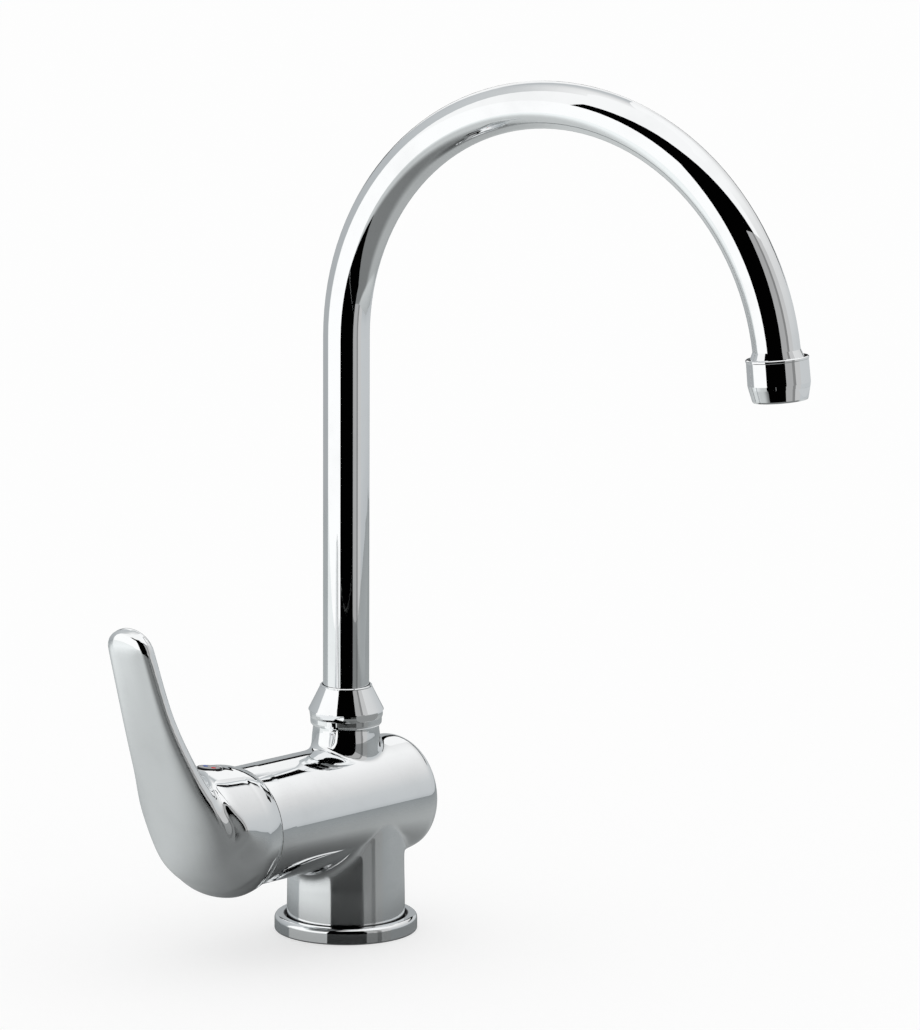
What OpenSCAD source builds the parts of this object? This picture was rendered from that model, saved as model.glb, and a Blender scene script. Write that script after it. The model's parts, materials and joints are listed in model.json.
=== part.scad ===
// Single lever kitchen mixer tap with a side lever and a tall swivelling spout.
// Origin: centre of the base on the worktop. +Z up, lever towards -X, millimetres.

/* [Body casting] */
// Diameter of the lying barrel
barrel_d = 46.6; // [45.6:0.1:48]
// Height of the barrel's axis above the worktop
barrel_z = 50.5; // [48:0.5:60]
// Distance from the column's axis to the blind end of the barrel
barrel_back = 33; // [30:0.5:40]
// Rounding of the blind end's edge
barrel_round = 6.5; // [3:0.5:9]
// Radius of the gentle dome on the blind end
dome_r = 85; // [60:5:200]
// Diameter of the column at its foot
column_foot_d = 46.5; // [44:0.1:46.6]
// Diameter of the column where it enters the barrel
column_top_d = 45.3; // [43:0.1:46]
// Diameter of the spout boss
boss_d = 26.9; // [26.5:0.1:30]
// Height of the boss's shoulder above the worktop
boss_shoulder_z = 79.3; // [77:0.1:84]
// Length of the threaded neck above the shoulder
boss_neck_h = 7.7; // [7:0.1:12]
// Diameter of the threaded neck
boss_thread_d = 25.7; // [25:0.1:26]

/* [Base] */
// Outer diameter of the base ring
ring_d = 56; // [54:0.5:64]
// Height of the base ring
ring_h = 6.2; // [5.4:0.1:9]
// Height of the ledge in the ring that carries the column
ring_ledge_h = 3; // [2.6:0.1:3.6]
// Thickness of the rubber seal under the ring
seal_h = 1.6; // [1.2:0.1:2]
// Width of the rubber seal
seal_w = 3.6; // [2:0.1:4]
// Diameter of each hose inlet thread
inlet_d = 10; // [8:0.5:11]
// Depth of each hose inlet thread
inlet_depth = 14; // [10:1:18]
// Distance between the two hose inlets
inlet_pitch = 15; // [13:0.5:17]
// Distance of the hose inlets behind the column's axis, on the lever's side
inlet_x = 7; // [6:0.5:9]
// Diameter of the fixing stud's thread
stud_d = 8; // [6:0.5:9]
// Depth of the fixing stud's thread
stud_depth = 16; // [10:1:22]
// Distance from the column's axis to the fixing stud
stud_x = 12; // [10:0.5:14]
// Diameter of the water channels below the barrel
channel_d = 5.4; // [4:0.2:6]
// Diameter of the channel that rises to the spout
riser_d = 10; // [8:0.5:12]

/* [Collar of the lever] */
// Distance from the column's axis to the lever's pivot
pivot_x = 69.3; // [68.5:0.1:72]
// Radius of the ball shaped rim of the collar
collar_r = 26; // [25.6:0.1:27]
// Distance from the pivot to the rim of the collar
collar_rim = 12.8; // [11:0.1:13]
// Bore of the collar
collar_bore_d = 41.2; // [40.8:0.1:42]
// Distance from the pivot to the centre of the rounded underside
bulb_shift = 4.3; // [3:0.1:6]
// Radius that blends the rim into the rounded underside
bulb_blend = 12; // [8:0.5:16]
// Rise of the collar's crown in degrees
crown_rise = 6; // [3:0.5:8]
// Distance from the pivot to the end of the crown
crown_end = 11.8; // [9:0.2:13]
// Length by which the crown's shoulders reach past its end into the blade
crown_shoulder = 5.4; // [4:0.2:6]
// Diameter of the red and blue indicator
indicator_d = 9.4; // [8:0.2:10]
// Distance from the pivot to the indicator, along the crown
indicator_x = 4.9; // [4.5:0.1:5.5]
// Thickness of the indicator
indicator_t = 1.9; // [1.4:0.1:2.4]
// Diameter of the grub screw under the indicator
grub_d = 5; // [4:0.5:5]
// Length of the grub screw
grub_len = 12; // [8:1:14]

/* [Blade of the lever] */
// Height of the blade's tip above the barrel's axis
blade_h = 86; // [70:1:110]
// Width of the blade near its tip
blade_tip_w = 22; // [18:0.2:24]
// Thickness of the blade near its tip
blade_tip_t = 9; // [6:0.2:10]
// Distance from the column's axis to the blade near its tip
blade_tip_x = 119.2; // [112:0.2:126]
// Length of the rounded tip
blade_round = 9.6; // [6:0.2:12]
// Lift of the lever from closed to full flow in degrees
lever_lift = 20; // [10:1:20]

/* [Cartridge] */
// Diameter of the cartridge
cartridge_d = 24.8; // [24.4:0.1:25]
// Diameter of the cartridge's neck
neck_d = 20.4; // [20:0.1:20.6]
// Distance from the pivot to the cartridge's shoulder
shoulder_in = 8; // [7.6:0.1:8.4]
// Length of the neck beyond the pivot
neck_out = 5; // [4:0.2:5.4]
// Wall of the cartridge's housing
housing_wall = 1.6; // [1.2:0.1:1.8]
// Thickness of the cartridge's base
base_t = 5; // [4:0.2:7]
// Thickness of each ceramic disc
disc_t = 3; // [2.5:0.1:3.4]
// Diameter of the sliding ceramic disc
slide_disc_d = 16; // [15:0.1:16.2]
// Width of the square lever stem
stem_w = 7; // [6:0.1:7.4]
// Length of the stem beyond the pivot, into the lever
stem_out = 19; // [16:0.5:19.5]
// Distance from the pivot to the ball that drives the sliding disc
ball_arm = 14; // [13:0.1:14.4]
// Diameter of the ball
ball_d = 5; // [4.4:0.1:5.4]
// Diameter of the arm between the stem and the ball
arm_d = 3.5; // [3:0.1:3.6]
// Diameter of the pivot pin
pin_d = 3; // [2.4:0.1:3.4]
// Wall of the turret around the cartridge
turret_wall = 2; // [1.5:0.1:2.2]
// Distance of each inlet port from the middle of the disc, sideways
port_y = 4.4; // [4:0.1:4.8]
// Height of the inlet ports above the middle of the disc
port_z = 1.8; // [1.4:0.1:2.2]
// Diameter of each inlet port
port_d = 3.6; // [3:0.1:3.8]
// Drop of the outlet port below the middle of the disc
outlet_drop = 4.2; // [3.8:0.1:4.6]
// Diameter of the outlet port
outlet_d = 4.8; // [4:0.1:5]

/* [Spout] */
// Outer diameter of the spout tube
tube_d = 18; // [16:0.1:18.4]
// Wall of the spout tube
tube_wall = 1; // [0.8:0.1:1.5]
// Radius of the spout's arch at its centre line
arch_r = 97.4; // [70:0.5:130]
// Height at which the arch begins
arch_z = 235.5; // [150:0.5:300]
// Sweep of the arch in degrees
arch_sweep = 171.9; // [160:0.1:180]
// Lean of the outlet back towards the column in degrees
outlet_lean = 2; // [0:0.5:4]
// Turn of the spout away from straight ahead in degrees
spout_turn = 10; // [0:1:20]
// Largest diameter of the spout nut
nut_d = 29.6; // [29.2:0.1:32]
// Diameter of the nut's upper rim
nut_rim_d = 20; // [19.6:0.1:21]
// Height of the nut's foot above the boss's shoulder
nut_lift = 3; // [2:0.1:3.4]
// Height of the nut's widest band above its foot
nut_band_h = 5.1; // [4.8:0.1:5.6]
// Height of the nut's cone above its widest band
nut_cone_h = 10.6; // [9:0.1:12]
// Thickness of the slide ring below the flange
slide_ring_t = 0.8; // [0.6:0.1:1]
// Thickness of the flange on the spout bush
flange_t = 2.2; // [1.8:0.1:2.4]
// Diameter of the flange on the spout bush
flange_d = 22.4; // [21.8:0.1:22.6]
// Diameter of the spout bush below its flange
bush_d = 19.9; // [19.6:0.1:20.2]
// Length of the spout bush below its flange
bush_len = 21.9; // [19:0.1:22]
// Bore of the spout bush
bush_bore_d = 13.6; // [12:0.2:14]
// Depth to which the tube enters the bush
tube_seat = 8; // [6:0.5:10]
// Section of the spout's O-rings
oring_t = 1.8; // [1.6:0.1:1.9]

/* [Outlet] */
// Diameter of the aerator's shell
aerator_d = 23.8; // [23.6:0.1:26]
// Height of the aerator's shell
aerator_h = 16.2; // [16:0.1:20]
// Diameter at the foot of the aerator's shell
aerator_foot_d = 20.5; // [20:0.1:22]
// Height of the shell's tapered foot
aerator_taper_h = 5.6; // [4:0.1:7]
// Diameter of the thread inside the shell
aerator_thread_d = 22; // [21.6:0.1:22.2]
// Length of the thread inside the shell
aerator_thread_h = 6.4; // [5:0.1:7]
// Length of the cone between tube and aerator
ferrule_h = 2.6; // [2:0.1:4]
// Diameter at the foot of that cone
ferrule_d = 20.2; // [19.2:0.1:21]
// Width across the wrench flats on the shell
aerator_flats = 21.4; // [21:0.1:22]

/* [Fits] */
// Radial clearance of turning and sliding fits
run_gap = 0.05; // [0.02:0.01:0.08]
// Clearance between a fixed piece and its seat
seat_gap = 0.1; // [0.05:0.01:0.15]
// Clearance between pieces that move past each other
free_gap = 0.35; // [0.3:0.05:0.5]

/* [Hidden] */
$fn = 96;
overlap = 1;

// The barrel and the ball socket for the collar. Distances named in run from the pivot to the column.
barrel_r = barrel_d / 2;
socket_r = collar_r + free_gap;
lip_round = 0.3;
lip_in = sqrt(pow(socket_r + lip_round, 2) - pow(barrel_r - lip_round, 2));
turret_r = cartridge_d / 2 + seat_gap + turret_wall;
rim_r = sqrt(collar_r * collar_r - collar_rim * collar_rim);
socket_in = collar_rim * cos(lever_lift) + rim_r * sin(lever_lift) + free_gap;
mouth_in = shoulder_in - 4;

// The lever's stem carries a ball that hangs below the axis by half its travel when closed
disc_travel = ball_arm * lever_lift * PI / 180;
ball_drop = disc_travel / 2;
stem_side = 0.15;
stem_tail = 4;
slot_half = stem_w / 2 / cos(lever_lift) + neck_out * tan(lever_lift) + free_gap;

// The cartridge's stack, from the guide to the seat in the casting
guide_r = neck_d / 2 - housing_wall;
guide_out = neck_out - 0.5;
guide_step_in = shoulder_in + housing_wall;
guide_flange_t = 1;
chamber_r = cartridge_d / 2 - housing_wall;
carrier_in = guide_step_in + guide_flange_t + 2 * run_gap;
pocket_in = ball_arm + ball_d / 2 + free_gap + 0.15;
disc_in = pocket_in + 1.5;
fixed_in = disc_in + disc_t + run_gap;
base_in = fixed_in + disc_t;
seat_in = base_in + base_t;
seat_x = pivot_x - seat_in;
port_seal_t = 1;
port_seal_w = 1.3;

// The base
ring_r = ring_d / 2;
ring_bore_r = column_foot_d / 2 + seat_gap;
ring_top_r = 1.8;
ring_valley = 1.3;
ring_foot_r = 0.6;
ring_ledge_w = 4;
seal_r = ring_r - 3.2;
column_foot_z = ring_ledge_h;

// The boss, the bush that turns in it and the nut that holds it
boss_r = boss_d / 2;
thread_r = boss_thread_d / 2;
boss_edge = 0.2;
boss_corner_r = 3;
column_corner_r = 3.5;
neck_ring_w = 0.3;
neck_ring_up = 1.1;
boss_top_z = boss_shoulder_z + boss_neck_h;
boss_bore_r = bush_d / 2 + run_gap;
flange_z = boss_top_z + slide_ring_t + run_gap;
flange_top_z = flange_z + flange_t;
bush_foot_z = flange_z - bush_len;
shelf_z = bush_foot_z - 2;
tube_r = tube_d / 2;
tube_bore_r = tube_r - tube_wall;
tube_foot_z = flange_z - tube_seat + flange_t;
nut_z = boss_shoulder_z + nut_lift;
nut_h = nut_band_h + nut_cone_h;
nut_shoulder_z = flange_top_z + slide_ring_t + free_gap;
nut_flat_r = nut_d / 2 - 0.95;
nut_turn = 21;
spout_azimuth = -90 + spout_turn;
oring_first = 3;
oring_pitch = 6;

// The lever
bore_deep = 2;
hub_bore_r = cartridge_d / 2 + 0.6;
hub_in = 9;
blade_stop = 1;
crown_edge_r = 0.8;
// The crown runs this far below the rounded underside where it doesn't show
crown_sink = 0.2;
// Angles up from the barrel's side where the crown leaves the rounded underside and where its
// shoulders begin, and the arcs over which they and the finger's hollow between them rise.
crown_low = -18;
crown_arc = 34;
shoulder_low = 12;
shoulder_arc = 28;
hollow_arc = 30;
indicator_seat = collar_r - indicator_t - seat_gap;
grub_reach = 14.5;
grub_run = collar_r * cos(crown_rise) + indicator_x * sin(crown_rise) - indicator_t - stem_w / 2;
grub_lean = atan2(grub_reach - indicator_x, grub_run);
dot_d = 2;
dot_t = 0.4;
dot_pitch = 4.4;

// The outlet, measured along the flow from the end of the arch
shell_r = aerator_d / 2;
thread_end = ferrule_h + aerator_thread_h;
spigot_r = aerator_thread_d / 2 - seat_gap;
washer_t = 1.5;
insert_r = aerator_thread_d / 2 - 1.2;
shell_end = ferrule_h + aerator_h;
mouth_lip = 1.2;
mouth_r = insert_r - 1.2;
screen_t = 0.8;
mesh_pitch = 1.9;

// Frame on the pivot, level with the barrel's axis
module at_pivot() translate([-pivot_x, 0, barrel_z]) children();

// Frame on the pivot with its Z axis along the barrel, towards the column
module along_barrel() at_pivot() rotate([0, 90, 0]) children();

// Frame on top of the crown, where the indicator sits
module on_crown() {
    at_pivot() rotate([0, crown_rise, 0])
        translate([-(indicator_x + collar_r * sin(crown_rise)) / cos(crown_rise), 0, 0]) children();
}

// Frame along the grub screw, from the stem's upper face
module along_grub() {
    at_pivot() translate([-grub_reach, 0, stem_w / 2]) rotate([0, grub_lean, 0]) children();
}

// Frame at the end of the arch with its Z axis along the flow
module at_outlet() {
    rotate([0, 0, spout_azimuth])
        translate([arch_r * (1 - cos(arch_sweep)), 0, arch_z + arch_r * sin(arch_sweep)])
            rotate([0, arch_sweep + outlet_lean, 0]) children();
}

module ring(outer, inner, from, to) {
    translate([0, 0, from]) difference() {
        cylinder(r = outer, h = to - from);
        translate([0, 0, -overlap]) cylinder(r = inner, h = to - from + 2 * overlap);
    }
}

module rod(r, from, to) translate([0, 0, from]) cylinder(r = r, h = to - from);

// Outline of the barrel as radius and distance from the pivot
module barrel_outline() {
    back = pivot_x + barrel_back;
    edge = barrel_r - barrel_round;
    edge_in = back - dome_r + sqrt(pow(dome_r - barrel_round, 2) - edge * edge);
    dome_edge = edge * dome_r / (dome_r - barrel_round);
    translate([0, lip_in]) square([barrel_r, edge_in - lip_in]);
    translate([barrel_r - lip_round, lip_in]) circle(r = lip_round);
    translate([0, lip_in - overlap])
        square([(barrel_r - lip_round) * socket_r / (socket_r + lip_round), 2 * overlap]);
    translate([edge, edge_in]) intersection() {
        circle(r = barrel_round);
        translate([0, -overlap]) square(barrel_round + overlap);
    }
    intersection() {
        translate([0, back - dome_r]) circle(r = dome_r);
        translate([0, edge_in - overlap]) square([dome_edge, dome_r]);
    }
}

// Room in which the collar's rim swings, with the turret for the cartridge left standing
module collar_socket() {
    difference() {
        intersection() {
            sphere(r = socket_r);
            rod(socket_r + overlap, -socket_r - overlap, socket_in);
        }
        rod(turret_r, mouth_in, socket_in + overlap);
    }
}

module inlet_positions() {
    for (side = [-1, 1]) translate([-inlet_x, side * inlet_pitch / 2, 0]) children();
}

module waterways() {
    inlet_positions() {
        rod(inlet_d / 2, column_foot_z - overlap, column_foot_z + inlet_depth);
        rod(channel_d / 2, column_foot_z, barrel_z + port_z);
    }
    for (side = [-1, 1]) translate([-seat_x - overlap, side * port_y, barrel_z + port_z])
        rotate([0, 90, 0]) cylinder(d = port_d + 1, h = seat_x - inlet_x + overlap);
    translate([-seat_x - overlap, 0, barrel_z - outlet_drop])
        rotate([0, 90, 0]) cylinder(d = outlet_d, h = seat_x + overlap);
    rod(riser_d / 2, barrel_z - outlet_drop, shelf_z + overlap);
}

// Solid through sections that follow each other round in a closed band
module closed_band(sections) {
    count = len(sections);
    n = len(sections[0]);
    points = [for (section = sections) each section];
    polyhedron(points, [for (k = [0:count - 1]) for (j = [0:n - 1])
        let (
            a = k * n + j,
            b = k * n + (j + 1) % n,
            c = (k + 1) % count * n + (j + 1) % n,
            d = (k + 1) % count * n + j
        )
        each [[a, c, b], [a, d, c]]]);
}

// Soft inner corner where an upright round meets the barrel: above it with way 1, below it with -1.
// The round is post_r wide at the barrel's axis and grows by widen for each millimetre away from it.
module soft_corner(post_r, widen, corner_r, way) {
    sides = 64;
    steps = 6;
    sunk = corner_r + 0.15;
    deep = 2.2 * corner_r;
    reach = barrel_r + corner_r;
    sections = [for (k = [0:sides - 1])
        let (
            a = 360 * k / sides,
            away = sqrt(reach * reach - pow((post_r + corner_r) * sin(a), 2)),
            far = post_r + widen * away + corner_r,
            rise = way * sqrt(reach * reach - pow(far * sin(a), 2)),
            centre = [far * cos(a), far * sin(a), rise],
            to_post = [-cos(a), -sin(a), 0],
            to_barrel = [0, -far * sin(a), -rise] / reach,
            turn = acos(to_post * to_barrel)
        )
        [
            for (i = [0:steps])
                let (t = turn * i / steps)
                centre + sunk / sin(turn) * (sin(turn - t) * to_post + sin(t) * to_barrel),
            centre + deep * (to_post + to_barrel) / norm(to_post + to_barrel)
        ]];
    translate([0, 0, barrel_z]) closed_band(way > 0 ? sections : [for (k = [sides - 1:-1:0]) sections[k]]);
}

module body_casting() {
    widen = (column_foot_d - column_top_d) / 2 / (barrel_z - column_foot_z);
    color("silver") difference() {
        union() {
            along_barrel() rotate_extrude() barrel_outline();
            along_barrel() rod(turret_r, mouth_in, socket_in + 2 * overlap);
            translate([0, 0, column_foot_z])
                cylinder(d1 = column_foot_d, d2 = column_top_d, h = barrel_z - column_foot_z);
            soft_corner(column_top_d / 2, widen, column_corner_r, -1);
            soft_corner(boss_r, 0, boss_corner_r, 1);
            rod(boss_r, barrel_z, boss_shoulder_z - boss_edge);
            translate([0, 0, boss_shoulder_z - boss_edge])
                cylinder(r1 = boss_r, r2 = boss_r - boss_edge, h = boss_edge);
            rod(thread_r + neck_ring_w, boss_shoulder_z + neck_ring_up, boss_shoulder_z + neck_ring_up + 0.7);
            rod(thread_r, barrel_z, boss_top_z);
        }
        along_barrel() collar_socket();
        along_barrel() rod(cartridge_d / 2 + seat_gap, mouth_in - overlap, seat_in);
        waterways();
        rod(boss_bore_r, shelf_z, boss_top_z + overlap);
        translate([stud_x, 0, 0]) rod(stud_d / 2, column_foot_z - overlap, column_foot_z + stud_depth);
    }
}

module base_ring() {
    rim_in = ring_r - 2 * ring_top_r;
    color("silver") rotate_extrude() difference() {
        union() {
            translate([0, ring_foot_r]) square([ring_r, ring_h - ring_top_r - ring_foot_r]);
            square([ring_r - ring_foot_r, ring_h - ring_top_r]);
            translate([ring_r - ring_foot_r, ring_foot_r]) circle(r = ring_foot_r);
            square([ring_r - ring_top_r, ring_h]);
            translate([ring_r - ring_top_r, ring_h - ring_top_r]) circle(r = ring_top_r);
        }
        polygon([
            [0, ring_h + overlap],
            [0, ring_h - ring_valley],
            [rim_in - 0.7, ring_h - ring_valley],
            [rim_in, ring_h],
            [rim_in, ring_h + overlap]
        ]);
        translate([0, ring_ledge_h]) square([ring_bore_r, ring_h]);
        translate([0, -overlap]) square([ring_bore_r - ring_ledge_w, ring_h]);
        translate([seal_r - seal_w, -overlap]) square([seal_w, seal_h + overlap]);
    }
}

module base_seal() {
    color("dimgray") ring(seal_r - seat_gap, seal_r - seal_w + seat_gap, 0, seal_h - seat_gap);
}

module spout_nut() {
    wide = nut_d / 2;
    rim = nut_rim_d / 2;
    band = wide - 0.85;
    color("silver") difference() {
        translate([0, 0, nut_z]) rotate_extrude() polygon([
            [0, 0],
            [band - 0.5, 0],
            [band - 0.1, 0.5],
            [band, 1.2],
            [band, 2.9],
            [wide - 0.55, 3.2],
            [wide - 0.15, 4],
            [wide, 4.8],
            [wide, nut_band_h + 0.4],
            [wide - 0.15, nut_band_h + 0.9],
            [rim + 0.15, nut_h - 0.7],
            [rim + 0.15, nut_h - 0.3],
            [rim - 0.1, nut_h],
            [0, nut_h]
        ]);
        rod(thread_r + seat_gap, nut_z - overlap, boss_top_z + free_gap);
        rod(flange_d / 2 + free_gap, nut_z, nut_shoulder_z);
        rod(tube_r + free_gap, nut_z, nut_z + nut_h + overlap);
        for (side = [0:5]) rotate([0, 0, nut_turn + side * 60])
            translate([nut_flat_r, -wide / 2, nut_z + 3]) cube([wide, wide, nut_band_h - 2.3]);
    }
}

module slide_rings() {
    color("white") {
        ring(flange_d / 2, bush_d / 2 + seat_gap, boss_top_z, boss_top_z + slide_ring_t);
        ring(flange_d / 2, tube_r + seat_gap, flange_top_z + run_gap, nut_shoulder_z - run_gap);
    }
}

module cartridge_housing() {
    color("white") along_barrel() difference() {
        union() {
            rod(cartridge_d / 2, shoulder_in, base_in);
            rod(neck_d / 2, -neck_out, shoulder_in + overlap);
        }
        rod(guide_r + run_gap, -neck_out - overlap, base_in);
        rod(chamber_r, guide_step_in, base_in + overlap);
    }
}

// Two inlets beside each other above the outlet, each widened by the given amount
module ports(widen, from, to) {
    for (side = [-1, 1]) translate([-port_z, side * port_y, 0]) rod((port_d + widen) / 2, from, to);
    translate([outlet_drop, 0, 0]) rod((outlet_d + widen) / 2, from, to);
}

module cartridge_base() {
    color("white") along_barrel() difference() {
        rod(cartridge_d / 2, base_in, seat_in);
        ports(0, base_in - overlap, seat_in + overlap);
        ports(2 * port_seal_w, seat_in - port_seal_t, seat_in + overlap);
    }
}

module port_seals() {
    color("dimgray") along_barrel() difference() {
        ports(2 * port_seal_w - 2 * seat_gap, seat_in - port_seal_t + seat_gap, seat_in);
        ports(seat_gap, base_in, seat_in + overlap);
    }
}

module fixed_disc() {
    color("ivory") along_barrel() difference() {
        rod(chamber_r - seat_gap, fixed_in, base_in);
        ports(0, fixed_in - overlap, base_in + overlap);
    }
}

module cartridge_nut() {
    notch_w = 2.4;
    notch_h = 2;
    color("goldenrod") along_barrel() difference() {
        ring(cartridge_d / 2, neck_d / 2 + seat_gap, mouth_in, shoulder_in);
        for (side = [0:3]) rotate([0, 0, side * 90])
            translate([0, -notch_w / 2, mouth_in - overlap]) cube([cartridge_d, notch_w, notch_h + overlap]);
    }
}

module lever_guide() {
    slot_w = stem_w + 2 * stem_side;
    color("gainsboro") along_barrel() difference() {
        union() {
            rod(guide_r, -guide_out, guide_step_in + run_gap + overlap / 2);
            rod(chamber_r - free_gap, guide_step_in + run_gap, guide_step_in + run_gap + guide_flange_t);
        }
        translate([-slot_half, -slot_w / 2, -neck_out]) cube([2 * slot_half, slot_w, seat_in]);
        rotate([90, 0, 0]) rod(pin_d / 2 + run_gap, -neck_d, neck_d);
    }
}

module pivot_pin() {
    color("gray") at_pivot() rotate([90, 0, 0]) rod(pin_d / 2, -guide_r + free_gap, guide_r - free_gap);
}

module disc_carrier() {
    pocket = ball_d + 2 * free_gap;
    mouth = arm_d + 2 * free_gap + 2 * (ball_arm - carrier_in) * tan(lever_lift) + 1;
    mouth_t = 1.8;
    color("white") along_barrel() translate([ball_drop, 0, 0]) difference() {
        rod(slide_disc_d / 2, carrier_in, disc_in);
        translate([-pocket / 2, -pocket / 2, carrier_in - overlap])
            cube([pocket, pocket, pocket_in - carrier_in + overlap]);
        translate([-mouth / 2, -pocket / 2, carrier_in - overlap]) cube([mouth, pocket, mouth_t + overlap]);
    }
}

module sliding_disc() {
    well_d = 8.2;
    well_t = disc_t / 2;
    color("ivory") along_barrel() translate([ball_drop, 0, 0]) difference() {
        rod(slide_disc_d / 2, disc_in, disc_in + disc_t);
        rod(well_d / 2, disc_in + disc_t - well_t, disc_in + disc_t + overlap);
        translate([outlet_drop * 2 / 3, 0, 0])
            rod(outlet_d / 2, disc_in + disc_t - well_t, disc_in + disc_t + overlap);
    }
}

module lever_stem() {
    color("goldenrod") along_barrel() difference() {
        union() {
            translate([-stem_w / 2, -stem_w / 2, -stem_out]) cube([stem_w, stem_w, stem_out + stem_tail]);
            translate([ball_drop, 0, 0]) {
                rod(arm_d / 2, stem_tail - overlap, ball_arm);
                translate([0, 0, ball_arm]) sphere(d = ball_d);
            }
        }
        rotate([90, 0, 0]) rod(pin_d / 2 + run_gap, -stem_w, stem_w);
    }
}

// Collar as a revolved outline: a ball shaped rim blended into the rounded underside
module collar_outline() {
    blend_x = sqrt(pow(collar_r - bulb_blend, 2) - pow(bulb_shift / 2, 2));
    wide = blend_x * collar_r / (collar_r - bulb_blend);
    intersection() {
        circle(r = collar_r);
        translate([0, bulb_shift]) circle(r = collar_r);
        translate([0, -collar_r]) square([wide, collar_r + collar_rim]);
    }
    intersection() {
        translate([blend_x, bulb_shift / 2]) circle(r = bulb_blend);
        translate([blend_x, bulb_shift / 2 - bulb_blend]) square([bulb_blend, 2 * bulb_blend]);
    }
}

// Smooth step from 0 to 1
function ease(t) = let (c = min(max(t, 0), 1)) c * c * (3 - 2 * c);

// Radius of the collar at a distance from the pivot and an angle around the barrel's axis:
// the rounded underside below, the rising crown on top
function crown_radius(in, angle) =
    let (
        under = sqrt(collar_r * collar_r - pow(in - bulb_shift, 2)) - crown_sink,
        over = (collar_r - in * sin(crown_rise)) / cos(crown_rise),
        share = ease((asin(sin(angle)) - crown_low) / crown_arc)
    )
    under + (over - under) * share;

// Distance from the pivot to the crown's end at an angle around the barrel's axis. A finger's hollow
// is left open on top, and the shoulders on both sides of it run into the blade.
function crown_reach(angle) =
    let (elevation = asin(sin(angle)))
    crown_end + crown_shoulder * ease((90 - elevation) / hollow_arc)
        * ease((elevation - shoulder_low) / shoulder_arc);

// Solid through rings of points, each ring as long as the first
module lofted(rings) {
    sides = len(rings[0]);
    last = len(rings) - 1;
    points = [for (ring = rings) each ring];
    walls = [for (i = [0:last - 1]) for (k = [0:sides - 1])
        let (a = i * sides + k, b = i * sides + (k + 1) % sides)
            each [[a, b + sides, a + sides], [a, b, b + sides]]];
    caps = [[for (k = [sides - 1:-1:0]) k], [for (k = [0:sides - 1]) last * sides + k]];
    polyhedron(points, concat(walls, caps));
}

// Crown of the collar, rising away from the rim over the rounded underside
module crown() {
    steps = 9;
    edge_steps = 3;
    sides = 72;
    from = collar_r * sin(crown_rise) - 0.4;
    root = 0.1;
    stations = [
        [0, 0, root],
        for (i = [1:steps]) [i / steps, 0, 0],
        for (i = [1:edge_steps])
            let (t = 90 * i / edge_steps)
            [1, crown_edge_r * sin(t), crown_edge_r * (1 - cos(t))]
    ];
    hollow = [[0.9, 0.62], [0.75, 0.3], [0.5, 0.08], [0.2, 0]];
    rings = [
        for (station = stations) [for (k = [0:sides - 1])
            let (
                a = 360 * k / sides,
                run = from + crown_reach(a) - crown_edge_r,
                x = from - run * station[0] - station[1],
                r = crown_radius(x, a) - station[2]
            )
            [x, r * cos(a), r * sin(a)]],
        for (step = hollow) [for (k = [0:sides - 1])
            let (
                a = 360 * k / sides,
                x = -crown_end - (crown_reach(a) - crown_end) * step[1],
                r = (crown_radius(-crown_end, a) - crown_edge_r) * step[0]
            )
            [x, r * cos(a), r * sin(a)]]
    ];
    at_pivot() lofted(rings);
}

// Outer line of the blade. Each station holds the distance from the column's axis, the height
// above the barrel's axis, half the width, half the thickness and the squareness of the section.
function blade_stations() = [
    [77.5, -22.6, 23.4, 17.5, 2],
    [89.2, -12.4, 21.9, 14.3, 2],
    [95.8, 6.3, 22.6, 9.9, 2],
    [102.7, 26.1, 17.2, 6.4, 2.2],
    [111.1, 49.7, 13, 4.8, 2.5],
    [blade_tip_x, blade_h - blade_round, blade_tip_w / 2, blade_tip_t / 2, 2.7]
];

// Value between b and c on the smooth curve through four neighbours
function between(a, b, c, d, t) =
    0.5 * (2 * b + (c - a) * t + (2 * a - 5 * b + 4 * c - d) * t * t + (3 * b - a - 3 * c + d) * t * t * t);

function signed_power(v, e) = sign(v) * pow(abs(v), e);

// One section of the blade, square to its outer line
function blade_ring(station, along, shrink, rise, sides) =
    let (out = [along[1], -along[0]])
    [for (k = [0:sides - 1])
        let (
            a = 360 * k / sides,
            wide = station[2] * shrink * signed_power(cos(a), 2 / station[4]),
            deep = station[3] * (pow(shrink, 0.6) * signed_power(sin(a), 2 / station[4]) - 1),
            x = station[0] + deep * out[0] + rise * along[0],
            z = station[1] + deep * out[1] + rise * along[1]
        )
        [-x, -wide, z]];

module blade() {
    stations = blade_stations();
    steps = 6;
    tip_steps = 7;
    tip_bend = 2.3;
    tip_end = 0.98;
    sides = 40;
    last = len(stations) - 1;
    line = [
        for (i = [0:last - 1]) for (k = [0:steps - 1])
            between(
                stations[max(i - 1, 0)], stations[i], stations[i + 1], stations[min(i + 2, last)], k / steps
            ),
        stations[last]
    ];
    count = len(line);
    along = [for (i = [0:count - 1])
        let (step = line[min(i + 1, count - 1)] - line[max(i - 1, 0)])
        [step[0], step[1]] / norm([step[0], step[1]])];
    rings = [
        for (i = [0:count - 1]) blade_ring(line[i], along[i], 1, 0, sides),
        for (k = [1:tip_steps])
            let (q = tip_end * sin(90 * k / tip_steps))
            blade_ring(line[count - 1], along[count - 1], sqrt(1 - pow(q, tip_bend)), q * blade_round, sides)
    ];
    translate([0, 0, barrel_z]) difference() {
        lofted(rings);
        translate([-pivot_x + blade_stop, -barrel_d, -barrel_d]) cube(2 * barrel_d);
    }
}

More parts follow.
